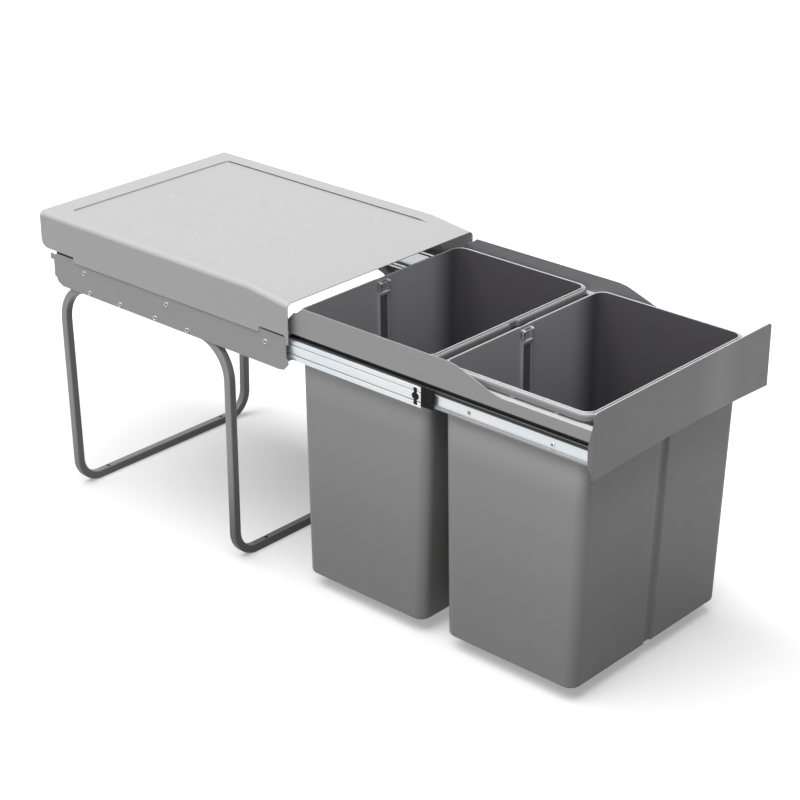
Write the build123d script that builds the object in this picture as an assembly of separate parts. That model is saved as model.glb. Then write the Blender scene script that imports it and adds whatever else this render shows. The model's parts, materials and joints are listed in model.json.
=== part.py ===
import os
from math import pi, radians, sin, tan

from build123d import *

os.makedirs("parts", exist_ok=True)

# Sheet and fits
sheet = 1.2
running_gap = 0.3
ball_play = 0.05

# Top cover
unit_width = 340
cover_top = 397
cover_rear = 189
cover_front = -269.7
cover_bend = -202
cover_front_drop = 8
cover_edge_radius = 7.5
skirt_height = 57.4
skirt_tip_height = 61
skirt_tip_width = 4.8
skirt_notch_height = 49.8
skirt_notch_radius = 4
skirt_front_notch = -220
skirt_rear_notch = 125.5
skirt_rear_radius = 12
recess_depth = 1.8
recess_side_margin = 29
recess_rear_margin = 31.5
recess_corner = 6

# Side plates, outline as shares of the plate's length from its front and of its height from its foot
plate_front = -268
plate_length = 442
plate_height = 56.5
plate_drop = 28.3
plate_outline_shares = [
    (0.0339, 0), (0.0176, 0.0265), (0, 0.1788), (0, 0.2212), (0.0045, 0.2743), (0.0079, 0.3451),
    (0.0079, 0.7982), (0.1041, 0.7982), (0.1222, 1), (0.8733, 1), (0.8869, 0.7805), (0.9706, 0.7805),
    (0.9751, 0.7522), (1, 0.7522), (1, 0.6035), (0.9853, 0.6035), (0.9853, 0.2035), (0.9774, 0.177),
    (0.9717, 0.0796), (0.9518, 0),
]

# Leg loops
tube_size = 11
tube_corner = 1.6
leg_spread = 314
leg_run_rise = 5.1
leg_run_end = 20
leg_top_radius = 53
leg_floor_radius = 34
knee_drop = 59.6
knee_radius = 120
rear_leg_lean = 4.6
floor_hole_inset = 54.1
floor_hole_radius = 2.6

# Rivets and screws, places along the slide as shares of its length from its front
rivet_radius = 1.6
rivet_head_radius = 2.9
rivet_head_height = 1.3
rivet_tail_radius = 2.2
rivet_tail_length = 1
rail_rivet_shares = (0.8679, 0.4929, 0.0755)
leg_rivet_shares = (0.6146, 0.2357, -0.1911, -0.5701)
rail_rivet_rise = 1.6
screw_radius = 1.9
screw_head_radius = 3.3
screw_head_height = 1.5
screw_reach = 3
rail_screw_shares = (0.1189, 0.5684, 0.9693)

# Ball slides
slide_length = 424
slide_height = 35
slide_thickness = 12
slide_drop = 69.2
slide_front = -262
drawer_travel = 445
ball_radius = 1.5
lip_depth = 1.4
middle_length = 404
middle_lag = 10.2
inner_lead = 4
inner_hole_share = 0.3993
inner_hole_radius = 2.4
race_balls = 8
ball_pitch = 13
cage_sheet = 0.4
cage_end = 6
outer_cage_lead = 19
inner_cage_lead = 21.3
bumper_height = 18
bumper_width = 8
middle_groove_height = 13
middle_groove_depth = 0.4
keyhole_length = 12
keyhole_height = 21
keyhole_front_margin = 2.2
clip_length = 18
clip_height = 24
clip_thickness = 1.4
clip_tongue = 6

# Drawer, the fence's front fall and rear corner as shares of their length and height
drawer_foot_above = 2.3
drawer_foot_below = 0.6
drawer_step_gap = 2.5
drawer_groove_inset = 4.2
fence_overhang = 4.8
fence_height = 36.5
fence_rear_setback = 7
fence_corner_length = 24.7
fence_corner_height = 19.3
fence_corner_shares = [(0, 1), (0.3846, 0.4663), (0.587, 0.4041), (0.9514, 0.0518), (1, 0)]
fence_fall_rear = 211.5
fence_fall_length = 76
fence_front_rise = 0.65
fence_fall_shares = [(0, 0), (0.1447, 0.0776), (0.2895, 0.2283), (0.5789, 0.589), (0.8421, 0.8995), (1, 1)]
ledge_rise = 13.95
ledge_leg = 11
ledge_width = 11.2
cross_bar_width = 10
cross_bar_height = 20
mid_bar_width = 15
front_bar_gap = 6.6
bracket_length = 33
bracket_foot = 28
bracket_margin_below = 2
bracket_margin_above = 1
bracket_rivet_inset = 6
bracket_rivet_setback = 8

# Front panel
panel_lead = 13.5
panel_side_margin = 1.2
panel_rise = 3.9
panel_sheet = 2
panel_drop = 10.3
panel_arch = 4.6
panel_return = 8
panel_return_taper = 40
panel_return_foot = 9
panel_corner = 5

# Bins
bin_side_gap = 1.3
bin_front_gap = 17.7
bin_gap = 10.8
bin_rear_gap = 6.9
bin_length = 209
bin_side_draft = 3.2
bin_end_draft = 7.6
bin_heel_offset = 3
bin_wall = 2.2
bin_bottom = 18.8
bin_corner = 15
bin_foot_radius = 4.2
rim_rise = 10.65
rim_height = 7.9
rim_overhang = 4.4
rim_skirt = 1.8
rim_round = 3
rim_web = 1.4
lip_rise = 1.2
lip_width = 2
groove_width = 1.9
groove_depth = 1.4
flute_width = 13
flute_depth = 3.4
rest_rib_length = 5
rest_rib_spacing = 62
clip_seat_width = 19
clip_seat_height = 17
clip_seat_drop = 3.4
clip_seat_depth = 4.8
clip_slot_width = 3.4
clip_slot_spacing = 9
bin_lift_rest = 0.3

# Widths that follow from the sizes above, counted outward from the middle plane
cover_side = unit_width / 2
plate_outside = cover_side - sheet
plate_inside = plate_outside - sheet
recess_width = unit_width - 2 * recess_side_margin
leg_side = plate_inside - tube_size / 2
floor_hole_side = leg_side - floor_hole_inset
side_outside = plate_inside - slide_thickness
side_inside = side_outside - sheet
drawer_side_face = side_outside + fence_overhang
drawer_groove_face = side_outside - drawer_groove_inset
ledge_edge = drawer_side_face - ledge_width
bin_width = 2 * (ledge_edge - bin_side_gap)
panel_width = unit_width - 2 * panel_side_margin
ball_gap = 2 * (ball_radius + ball_play)
lip_face = side_outside + running_gap
race = lip_face + sheet + ball_play + ball_radius
middle_inside = race + ball_radius + running_gap
middle_outside = middle_inside + sheet
rim_width = bin_width + 2 * rim_overhang
rim_length = bin_length + 2 * rim_overhang

# Heights that follow
skirt_bottom = cover_top - skirt_height
skirt_tip_bottom = cover_top - skirt_tip_height
skirt_notch_top = cover_top - skirt_notch_height
slide_centre = cover_top - slide_drop
middle_height = slide_height - 2 * (sheet + ball_gap)
inner_height = middle_height - 2 * (sheet + ball_gap)
rail_rivet_height = slide_centre + rail_rivet_rise
plate_bottom = slide_centre - plate_drop
leg_run_height = plate_bottom + leg_run_rise
knee_height = leg_run_height - knee_drop
drawer_groove_bottom = slide_centre + inner_height / 2 + drawer_foot_above
drawer_side_bottom = slide_centre - inner_height / 2 - drawer_foot_below
drawer_step_height = slide_centre + slide_height / 2 + drawer_step_gap
drawer_fence_top = drawer_step_height + fence_height
ledge_height = drawer_step_height + ledge_rise
bracket_bottom = drawer_side_bottom + bracket_margin_below
bracket_top = drawer_groove_bottom - bracket_margin_above
bracket_rivets = (bracket_bottom + bracket_rivet_inset, bracket_top - bracket_rivet_inset)
panel_top = drawer_fence_top + panel_rise
panel_bottom = drawer_side_bottom - panel_drop
rim_top = ledge_height + rim_rise
rim_bottom = rim_top - rim_height
lip_top = rim_top + lip_rise
clip_seat_top = rim_top - clip_seat_drop

# Places along Y that follow, the drawer's with the drawer pulled out
cover_slope = cover_front_drop / (cover_bend - cover_front)
recess_rear = cover_rear - recess_rear_margin
recess_front = cover_bend - recess_depth / cover_slope
cage_length = 2 * cage_end + (race_balls - 1) * ball_pitch
middle_front = slide_front - drawer_travel / 2 + middle_lag
inner_front = slide_front - inner_lead - drawer_travel
inner_hole = inner_front + inner_hole_share * slide_length
rail_rivets = [slide_front + share * slide_length for share in rail_rivet_shares]
rail_screws = [inner_front + share * slide_length for share in rail_screw_shares]
leg_rivets = [share * leg_spread / 2 for share in leg_rivet_shares]
outer_cage_rear = slide_front + outer_cage_lead + cage_length
inner_cage_rear = middle_front + inner_cage_lead + cage_length
panel_face = inner_front - panel_lead
panel_back = panel_face + panel_sheet
bracket_rivet_y = panel_face + bracket_rivet_setback
bin_pitch = rim_length + bin_gap
front_bin_centre = panel_face + bin_front_gap + rim_length / 2
rear_bin_centre = front_bin_centre + bin_pitch
drawer_rear = rear_bin_centre + rim_length / 2 + bin_rear_gap
drawer_side_rear = drawer_rear - fence_rear_setback
fence_fall_start = panel_face + fence_fall_rear


def block(x, y, z):
    # A box between two values on each axis
    size = [abs(end - start) for start, end in (x, y, z)]
    middle = [(end + start) / 2 for start, end in (x, y, z)]
    return Pos(*middle) * Box(*size)


def side_sheet(outline, inner, outer):
    # A flat sheet cut to an outline of Y and Z points, between two distances from the middle plane
    face = make_face(Polyline(*outline, close=True))
    return Pos(inner, 0, 0) * extrude(Plane.YZ * face, outer - inner)


def cross_rod(radius, inner, outer, y, z):
    # A round bar along X
    return Pos((inner + outer) / 2, y, z) * Rot(0, 90, 0) * Cylinder(radius, outer - inner)


def rounded_slab(width, length, corner, bottom, top):
    return Pos(0, 0, bottom) * extrude(RectangleRounded(width, length, corner), top - bottom)


def other_side(part):
    return mirror(part, about=Plane.YZ)


def cover_profile(drop, front, rear, bottom):
    # Side view of the cover's top, with everything below it down to the bottom
    top = cover_top - drop
    fall = cover_slope * (cover_bend - front)
    points = [(rear, top), (cover_bend, top), (front, top - fall), (front, bottom), (rear, bottom)]
    return make_face(Polyline(*points, close=True))


def long_top_edges(part):
    # The edges that run along Y between the top and the skirts
    edges = part.edges().filter_by(lambda edge: edge.bounding_box().size.Y > cover_front_drop)
    edges = edges.filter_by(lambda edge: edge.center().Z > skirt_bottom)
    return edges.filter_by(lambda edge: abs(edge.center().X) > cover_side - 2 * sheet)


def skirt_cutter():
    # What is cut away below the skirts: the main edge, the rear notch and the front notch
    tip_rear = cover_front + skirt_tip_width
    cutter = block((-unit_width, unit_width), (tip_rear, unit_width), (0, skirt_bottom))
    rear = block((-unit_width, unit_width), (skirt_rear_notch, unit_width), (0, skirt_notch_top))
    front = block((-unit_width, unit_width), (tip_rear, skirt_front_notch), (0, skirt_notch_top))
    corner = front.edges().filter_by(Axis.X).sort_by(Axis.Z)[-2:].sort_by(Axis.Y)[0]
    front = fillet(corner, skirt_notch_radius)
    return cutter + rear + front


def top_cover():
    width = Pos(-cover_side, 0, 0)
    profile = cover_profile(0, cover_front, cover_rear, skirt_tip_bottom)
    outer = width * extrude(Plane.YZ * profile, unit_width)
    outer = fillet(long_top_edges(outer), cover_edge_radius)
    inner_profile = cover_profile(sheet, cover_front * 2, unit_width, 0)
    inner = Pos(-plate_outside, 0, 0) * extrude(Plane.YZ * inner_profile, 2 * plate_outside)
    inner = fillet(long_top_edges(inner), cover_edge_radius - sheet)
    cover = outer - inner
    length = recess_rear - recess_front
    middle = Pos(0, (recess_rear + recess_front) / 2, 0)
    floor = cover_top - recess_depth
    pan_width = recess_width + 2 * sheet
    pan = rounded_slab(pan_width, length + sheet, recess_corner + sheet, floor - sheet, cover_top - sheet)
    pocket = rounded_slab(recess_width, length + 2 * recess_corner, recess_corner, floor, cover_top + sheet)
    cover = cover + Pos(0, sheet / 2, 0) * middle * pan - Pos(0, -recess_corner, 0) * middle * pocket
    cover = cover - skirt_cutter()
    corners = cover.edges().filter_by(Axis.X).filter_by(lambda edge: edge.center().Y > cover_rear - sheet)
    corners = corners.filter_by(lambda edge: edge.center().Z < skirt_notch_top + sheet)
    return fillet(corners, skirt_rear_radius)


def side_plate():
    outline = [(plate_front + along * plate_length, plate_bottom + up * plate_height)
               for along, up in plate_outline_shares]
    plate = side_sheet(outline, plate_inside, plate_outside)
    for y in rail_rivets:
        plate -= cross_rod(rivet_radius, plate_inside, plate_outside, y, rail_rivet_height)
    for y in leg_rivets:
        plate -= cross_rod(rivet_radius, plate_inside, plate_outside, y, leg_run_height)
    return plate


def bent_path(points, radii):
    # Lines through the points, with each corner rounded to its radius
    pieces = []
    here = Vector(*points[0])
    for before, corner, after, radius in zip(points, points[1:], points[2:], radii):
        turn = Vector(*corner)
        back = (Vector(*before) - turn).normalized()
        ahead = (Vector(*after) - turn).normalized()
        half = radians(back.get_angle(ahead) / 2)
        start = turn + back * (radius / tan(half))
        end = turn + ahead * (radius / tan(half))
        middle = turn + (back + ahead).normalized() * (radius / sin(half) - radius)
        pieces.append(Line(here, start))
        pieces.append(ThreePointArc(start, middle, end))
        here = end
    pieces.append(Line(here, Vector(*points[-1])))
    return Wire(pieces)


def leg_loop(direction, lean):
    # One tube from run to run; direction is 1 for the rear loop and -1 for the front one
    side = leg_side
    y = direction * leg_spread / 2
    end = direction * leg_run_end
    floor = tube_size / 2
    half = [(side, end, leg_run_height), (side, y, leg_run_height)]
    bends = [leg_top_radius]
    if lean:
        half.append((side, y, knee_height))
        bends.append(knee_radius)
    half.append((side - lean, y, floor))
    bends.append(leg_floor_radius)
    points = half + [(-x, y, z) for x, y, z in reversed(half)]
    path = bent_path(points, bends + bends[::-1])
    start = Plane(origin=points[0], x_dir=(1, 0, 0), z_dir=(0, direction, 0))
    tube = sweep(start * RectangleRounded(tube_size, tube_size, tube_corner), path=path)
    bore_size = tube_size - 2 * sheet
    tube -= sweep(start * RectangleRounded(bore_size, bore_size, tube_corner - sheet), path=path)
    for x in (-floor_hole_side, floor_hole_side):
        tube -= Pos(x, y, floor) * Cylinder(floor_hole_radius, 2 * tube_size)
    for rivet in leg_rivets:
        if rivet * direction > 0:
            tube -= cross_rod(rivet_radius, plate_inside - sheet, plate_inside, rivet, leg_run_height)
            tube -= cross_rod(rivet_radius, -plate_inside, sheet - plate_inside, rivet, leg_run_height)
    return tube


def rivet(y, z):
    # Head outside the plate, shank through plate and part, tail behind
    back = plate_inside - sheet
    head = cross_rod(rivet_head_radius, plate_outside, plate_outside + rivet_head_height, y, z)
    head = fillet(head.edges().sort_by(Axis.X)[-1], rivet_head_height * 2 / 3)
    shank = cross_rod(rivet_radius, back, plate_outside, y, z)
    tail = cross_rod(rivet_tail_radius, back - rivet_tail_length, back, y, z)
    return head + shank + tail


def plate_rivets():
    upper = [rivet(y, rail_rivet_height) for y in rail_rivets]
    lower = [rivet(y, leg_run_height) for y in leg_rivets]
    return Compound(children=upper + lower)


def channel(web, tip, height, front, length, lip):
    # A C section along Y: the web's two faces, how far the flanges reach, and the lips at their tips
    bottom = slide_centre - height / 2
    top = slide_centre + height / 2
    run = (front, front + length)
    part = block(web, run, (bottom, top))
    flange = (min(tip, *web), max(tip, *web))
    part += block(flange, run, (top - sheet, top)) + block(flange, run, (bottom, bottom + sheet))
    if lip:
        edge = (tip, tip + sheet)
        part += block(edge, run, (top - sheet - lip, top))
        part += block(edge, run, (bottom, bottom + sheet + lip))
    return part


def outer_rail():
    web = (plate_inside - sheet, plate_inside)
    rail = channel(web, lip_face, slide_height, slide_front, slide_length, lip_depth)
    for y in rail_rivets:
        rail -= cross_rod(rivet_radius, *web, y, rail_rivet_height)
    return rail


def middle_rail():
    web = (middle_inside, middle_outside)
    rail = channel(web, lip_face, middle_height, middle_front, middle_length, lip_depth)
    front = middle_front + keyhole_front_margin
    opening = (slide_centre - keyhole_height / 2, slide_centre + keyhole_height / 2)
    rail -= block(web, (front, front + keyhole_length), opening)
    groove = (slide_centre - middle_groove_height / 2, slide_centre + middle_groove_height / 2)
    face = (middle_outside - middle_groove_depth, middle_outside)
    return rail - block(face, (front + keyhole_length, middle_front + middle_length), groove)


def middle_clip():
    # Plastic end piece: a plate ahead of the rail and a tongue over its web
    inner = (middle_inside, middle_inside + clip_thickness)
    top = slide_centre + middle_height / 2
    height = (top - clip_height, top)
    plate = block(inner, (middle_front - clip_length, middle_front), height)
    tongue_x = (middle_outside, middle_outside + running_gap * 2)
    tongue = block(tongue_x, (middle_front - clip_tongue, middle_front + clip_tongue), height)
    bridge = block((middle_inside, tongue_x[1]), (middle_front - clip_tongue, middle_front), height)
    return plate + tongue + bridge


def inner_rail():
    web = (side_outside, side_outside + sheet)
    tip = middle_inside - cage_sheet - 3 * running_gap
    rail = channel(web, tip, inner_height, inner_front, slide_length, 0)
    rail -= cross_rod(inner_hole_radius, *web, inner_hole, slide_centre)
    for y in rail_screws:
        rail -= cross_rod(screw_radius, *web, y, slide_centre)
    return rail


def rail_screw(y):
    face = side_outside + sheet
    head = cross_rod(screw_head_radius, face, face + screw_head_height, y, slide_centre)
    head = fillet(head.edges().sort_by(Axis.X)[-1], screw_head_height / 2)
    return head + cross_rod(screw_radius, side_inside - screw_reach, face, y, slide_centre)


def race_heights(height):
    # Upper and lower ball track just outside a rail of this height
    rise = height / 2 + ball_gap / 2
    return slide_centre + rise, slide_centre - rise


def ball_spots(rear):
    return [rear - cage_end - step * ball_pitch for step in range(race_balls)]


def balls(height, rear):
    tracks = race_heights(height)
    spots = ball_spots(rear)
    return Compound(children=[Pos(race, y, z) * Sphere(ball_radius) for z in tracks for y in spots])


def cage(height, rear, web_inside):
    # A strip of sheet that holds the balls of both tracks at their spacing
    web = (web_inside, web_inside + cage_sheet)
    run = (rear - cage_length, rear)
    upper, lower = race_heights(height)
    part = block(web, run, (lower, upper))
    for z in (upper, lower):
        arm = (lip_face + sheet + ball_play, web[1])
        part += block(arm, run, (z - cage_sheet / 2, z + cage_sheet / 2))
        for y in ball_spots(rear):
            part -= Pos(race, y, z) * Cylinder(ball_radius + ball_play, ball_gap)
    return part


def rear_bumper():
    # Rubber stop at the rear end of the outer rail
    rear = slide_front + slide_length
    closed = inner_front + slide_length + drawer_travel
    height = (slide_centre - bumper_height / 2, slide_centre + bumper_height / 2)
    reach = (plate_inside - sheet - rivet_tail_length - bumper_width, plate_inside - sheet)
    return block(reach, (closed + running_gap, rear), height)


def fence():
    # Side view of the drawer side above its step
    low = ledge_height + fence_front_rise
    corner = [(drawer_side_rear - along * fence_corner_length, drawer_fence_top - down * fence_corner_height)
              for along, down in fence_corner_shares]
    drop = drawer_fence_top - low
    fall = [(fence_fall_start - along * fence_fall_length, drawer_fence_top - down * drop)
            for along, down in fence_fall_shares]
    front = [(panel_back, low), (panel_back, drawer_step_height)]
    return [(drawer_side_rear, drawer_step_height)] + corner + fall + front


def drawer_side():
    # Foot that carries the slide, a groove above it, and the fence outside
    whole = (panel_back, drawer_rear)
    deep = drawer_groove_face - sheet
    foot_top = drawer_groove_bottom
    side = block((side_inside, side_outside), whole, (drawer_side_bottom, foot_top))
    side += block((deep, side_outside), whole, (foot_top, foot_top + sheet))
    side += block((deep, drawer_groove_face), whole, (foot_top, drawer_step_height + sheet))
    step = (drawer_step_height, drawer_step_height + sheet)
    side += block((deep, drawer_side_face), (panel_back, drawer_side_rear), step)
    side += side_sheet(fence(), drawer_side_face - sheet, drawer_side_face)
    for y in rail_screws:
        side -= cross_rod(screw_radius, side_inside, side_outside, y, slide_centre)
    for z in bracket_rivets:
        side -= cross_rod(rivet_radius, side_inside, side_outside, bracket_rivet_y, z)
    return side


def bin_ledge():
    # An angle whose flat top carries the bins' rims
    outside = drawer_side_face - sheet
    run = (panel_back, drawer_side_rear)
    flat = block((ledge_edge, outside), run, (ledge_height - sheet, ledge_height))
    return flat + block((outside - sheet, outside), run, (ledge_height - ledge_leg, ledge_height))


def cross_bar(rear, width):
    # An upturned U below the ledges, from side to side
    top = ledge_height - sheet
    reach = drawer_groove_face - sheet
    bar = block((-reach, reach), (rear - width, rear), (top - cross_bar_height, top))
    inside = (rear - width + sheet, rear - sheet)
    return bar - block((-reach, reach), inside, (top - cross_bar_height, top - sheet))


def front_bracket():
    height = (bracket_bottom, bracket_top)
    arm = block((side_inside - sheet, side_inside), (panel_back, panel_back + bracket_length), height)
    foot = block((side_inside - bracket_foot, side_inside), (panel_back, panel_back + sheet), height)
    bracket = arm + foot
    for z in bracket_rivets:
        bracket -= cross_rod(rivet_radius, side_inside - sheet, side_inside, bracket_rivet_y, z)
    return bracket


def bracket_rivet_pair():
    face = side_outside
    pairs = []
    for z in bracket_rivets:
        head = cross_rod(rivet_tail_radius, face, face + rivet_tail_length, bracket_rivet_y, z)
        shank = cross_rod(rivet_radius, side_inside - sheet, face, bracket_rivet_y, z)
        tail_end = side_inside - sheet
        pairs.append(head + shank + cross_rod(rivet_tail_radius, tail_end - rivet_tail_length, tail_end,
                                              bracket_rivet_y, z))
    return Compound(children=pairs)


def panel_outline():
    half = panel_width / 2
    sides = Polyline((half, panel_bottom), (half, panel_top), (-half, panel_top), (-half, panel_bottom))
    arch = ThreePointArc((-half, panel_bottom), (0, panel_bottom + panel_arch), (half, panel_bottom))
    face = make_face(sides + arch)
    return fillet(face.vertices().sort_by(Axis.Y)[-2:], panel_corner)


def front_panel():
    # The upright sheet, with a return at each side that narrows to nothing near the top
    upright = Plane(origin=(0, panel_face, 0), x_dir=(1, 0, 0), z_dir=(0, -1, 0))
    panel = extrude(upright * panel_outline(), -panel_sheet)
    edge = panel_width / 2
    back = panel_face + panel_return
    foot = panel_bottom + panel_corner
    outline = [(panel_face, foot), (back, foot + panel_return_foot), (back, panel_top - panel_return_taper),
               (panel_face, panel_top - panel_corner)]
    side = side_sheet(outline, edge - sheet, edge)
    return panel + side + other_side(side)


def slope_at(z):
    # How far down the bin's height a level lies, 0 at the rim and 1 at the bottom
    return (rim_top - z) / (rim_top - bin_bottom)


def tub(inset, bottom, top):
    # The bin's tapered body, smaller by the inset all round
    sections = []
    for z in (bottom, top):
        width = bin_width - 2 * (inset + bin_side_draft * slope_at(z))
        length = bin_length - 2 * (inset + bin_end_draft * slope_at(z))
        place = Pos(0, bin_heel_offset * slope_at(z), z)
        sections.append(place * RectangleRounded(width, length, bin_corner - inset))
    body = loft(sections, ruled=True)
    return fillet(body.edges().group_by(Axis.Z)[0], bin_foot_radius - inset)


def flute(direction, width, depth, bottom):
    # A slim upright bar that follows the slope of the end wall
    sections = []
    for z in (bottom, lip_top + 2 * sheet):
        y = direction * (bin_length / 2 - bin_end_draft * slope_at(z)) + bin_heel_offset * slope_at(z)
        sections.append(Pos(0, y, z) * RectangleRounded(width, 2 * depth, depth / 2))
    return loft(sections, ruled=True)


def bin_rim():
    corner = bin_corner + rim_overhang
    rim = rounded_slab(rim_width, rim_length, corner, rim_bottom, rim_top)
    rim = fillet(rim.edges().group_by(Axis.Z)[-1], rim_round)
    inside = (rim_width - 2 * rim_skirt, rim_length - 2 * rim_skirt, corner - rim_skirt)
    return rim - rounded_slab(*inside, rim_bottom, rim_top - groove_depth - rim_web)


def bin_lip():
    outer = (bin_width - bin_wall + lip_width / 2, bin_length - bin_wall + lip_width / 2, bin_corner)
    lip = rounded_slab(*outer, rim_top - groove_depth - rim_web, lip_top)
    lip = fillet(lip.edges().group_by(Axis.Z)[-1], lip_width / 3)
    groove = rounded_slab(outer[0] + 2 * groove_width, outer[1] + 2 * groove_width, bin_corner + groove_width,
                          rim_top - groove_depth, lip_top)
    return lip, groove


def clip_seat():
    # A raised pad on the rear wall with two upright slots
    y = bin_length / 2 - bin_wall
    height = (clip_seat_top - clip_seat_height, clip_seat_top)
    half = clip_seat_width / 2
    pad = block((-half, half), (y - clip_seat_depth, y + bin_wall / 2), height)
    for x in (-clip_slot_spacing / 2, clip_slot_spacing / 2):
        slot = (x - clip_slot_width / 2, x + clip_slot_width / 2)
        pad -= block(slot, (y - clip_seat_depth, y - sheet), height)
    return pad


def waste_bin():
    shell = tub(0, bin_bottom, rim_top - rim_web) + bin_rim()
    lip, groove = bin_lip()
    shell = shell - groove + lip
    inner_foot = bin_bottom + bin_wall
    hollow = tub(bin_wall, inner_foot, lip_top + sheet)
    for direction in (-1, 1):
        hollow -= flute(direction, flute_width + 2 * bin_wall, flute_depth + bin_wall, 0)
    shell = shell - hollow + clip_seat()
    for direction in (-1, 1):
        shell -= flute(direction, flute_width, flute_depth, 0)
    rib_foot = ledge_height + bin_lift_rest
    wall = bin_width / 2 - bin_wall / 2
    for y in (-rest_rib_spacing, 0, rest_rib_spacing):
        run = (y - rest_rib_length / 2, y + rest_rib_length / 2)
        for ends in ((wall, rim_width / 2 - rim_skirt), (rim_skirt - rim_width / 2, -wall)):
            shell += block(ends, run, (rib_foot, rim_top - groove_depth - rim_web))
    return shell


def save(name, part):
    part.label = name
    export_step(part, os.path.join("parts", name + ".step"))


def save_pair(name, part):
    save("right_" + name, part)
    save("left_" + name, other_side(part))


save("top_cover", top_cover())
save("front_leg_loop", leg_loop(-1, 0))
save("rear_leg_loop", leg_loop(1, rear_leg_lean))
save("front_panel", front_panel())
save("rear_cross_bar", cross_bar(drawer_rear, cross_bar_width))
mid_bar_rear = rear_bin_centre - (bin_pitch - mid_bar_width) / 2
save("middle_cross_bar", cross_bar(mid_bar_rear, mid_bar_width))
save("front_cross_bar", cross_bar(panel_back + front_bar_gap + cross_bar_width, cross_bar_width))
save_pair("side_plate", side_plate())
save_pair("plate_rivets", plate_rivets())
save_pair("outer_rail", outer_rail())
save_pair("rear_bumper", rear_bumper())
save_pair("middle_rail", middle_rail())
save_pair("middle_clip", middle_clip())
save_pair("inner_rail", inner_rail())
save_pair("rail_screws", Compound(children=[rail_screw(y) for y in rail_screws]))
save_pair("outer_cage", cage(middle_height, outer_cage_rear, middle_outside + 2 * sheet))
save_pair("outer_balls", balls(middle_height, outer_cage_rear))
save_pair("inner_cage", cage(inner_height, inner_cage_rear, middle_inside - cage_sheet - running_gap))
save_pair("inner_balls", balls(inner_height, inner_cage_rear))
save_pair("drawer_side", drawer_side())
save_pair("bin_ledge", bin_ledge())
save_pair("front_bracket", front_bracket())
save_pair("bracket_rivets", bracket_rivet_pair())
bin_shape = waste_bin()
save("rear_bin", Pos(0, rear_bin_centre, 0) * bin_shape)
save("front_bin", Pos(0, front_bin_centre, 0) * bin_shape)
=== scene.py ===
import json
import math
import bmesh
import bpy
from mathutils import Matrix, Vector


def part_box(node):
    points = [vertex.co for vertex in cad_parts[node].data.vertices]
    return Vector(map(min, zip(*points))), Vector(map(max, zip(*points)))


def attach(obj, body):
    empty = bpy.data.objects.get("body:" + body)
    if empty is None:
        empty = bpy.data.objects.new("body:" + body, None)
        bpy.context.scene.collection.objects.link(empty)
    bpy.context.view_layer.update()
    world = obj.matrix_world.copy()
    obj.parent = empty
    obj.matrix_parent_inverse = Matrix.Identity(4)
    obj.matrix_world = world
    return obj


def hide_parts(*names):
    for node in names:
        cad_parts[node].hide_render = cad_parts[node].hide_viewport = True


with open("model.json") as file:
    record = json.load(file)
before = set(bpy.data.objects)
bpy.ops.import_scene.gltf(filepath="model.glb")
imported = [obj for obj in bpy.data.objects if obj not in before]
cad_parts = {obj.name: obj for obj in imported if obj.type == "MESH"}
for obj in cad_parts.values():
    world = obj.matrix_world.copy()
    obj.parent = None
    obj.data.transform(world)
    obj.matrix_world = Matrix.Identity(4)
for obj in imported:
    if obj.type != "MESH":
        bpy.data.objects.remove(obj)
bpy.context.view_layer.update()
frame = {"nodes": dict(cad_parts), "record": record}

nodes = frame["nodes"]
scene = bpy.context.scene
scene.view_settings.view_transform = "Standard"
sides = (("left", -1), ("right", 1))


def mm(*values):
    return Vector([v / 1000 for v in values])


def addObject(name, data):
    o = bpy.data.objects.new(name, data)
    scene.collection.objects.link(o)
    return o


# camera, at the photo's angle; its place in mm, its turns in degrees
cameraSet = {"place": (-1774.68, -1898.52, 1317.12), "azimuth": -47.919, "elevation": 24.755,
             "lens": 93.75, "sensor": 36, "clip": (0.05, 50)}


def placeCamera(c):
    cam = addObject("camera", bpy.data.cameras.new("camera"))
    cam.data.lens, cam.data.sensor_width = c["lens"], c["sensor"]
    cam.data.clip_start, cam.data.clip_end = c["clip"]
    az, el = math.radians(c["azimuth"]), math.radians(c["elevation"])
    look = Vector((-math.sin(az) * math.cos(el), math.cos(az) * math.cos(el), -math.sin(el)))
    cam.location = mm(*c["place"])
    cam.rotation_euler = look.to_track_quat("-Z", "Y").to_euler()
    scene.camera = cam


placeCamera(cameraSet)
print("camera placed")


# node helpers

def newMaterial(name):
    m = bpy.data.materials.new(name)
    m.use_nodes = True
    tree = m.node_tree
    shader = tree.nodes["Principled BSDF"]
    place = tree.nodes.new("ShaderNodeTexCoord")
    return m, tree, shader, place.outputs["Object"]


def noiseOn(tree, place, scale, detail=3, stretch=None):
    if stretch:
        mapping = tree.nodes.new("ShaderNodeMapping")
        mapping.inputs["Scale"].default_value = stretch
        tree.links.new(place, mapping.inputs["Vector"])
        place = mapping.outputs["Vector"]
    n = tree.nodes.new("ShaderNodeTexNoise")
    n.inputs["Scale"].default_value = scale
    n.inputs["Detail"].default_value = detail
    tree.links.new(place, n.inputs["Vector"])
    return n.outputs["Fac"]


def ranged(tree, value, given, wanted, kind="LINEAR"):
    r = tree.nodes.new("ShaderNodeMapRange")
    r.interpolation_type = kind
    r.inputs["From Min"].default_value, r.inputs["From Max"].default_value = given
    r.inputs["To Min"].default_value, r.inputs["To Max"].default_value = wanted
    tree.links.new(value, r.inputs["Value"])
    return r.outputs["Result"]


def spread(tree, noise, low, high):
    # the middle half of a noise, stretched from low to high
    return ranged(tree, noise, (0.25, 0.75), (low, high))


def fade(tree, value, low, high):
    # 0 below low, 1 above high, soft between
    return ranged(tree, value, (low, high), (0, 1), "SMOOTHSTEP")


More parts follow.
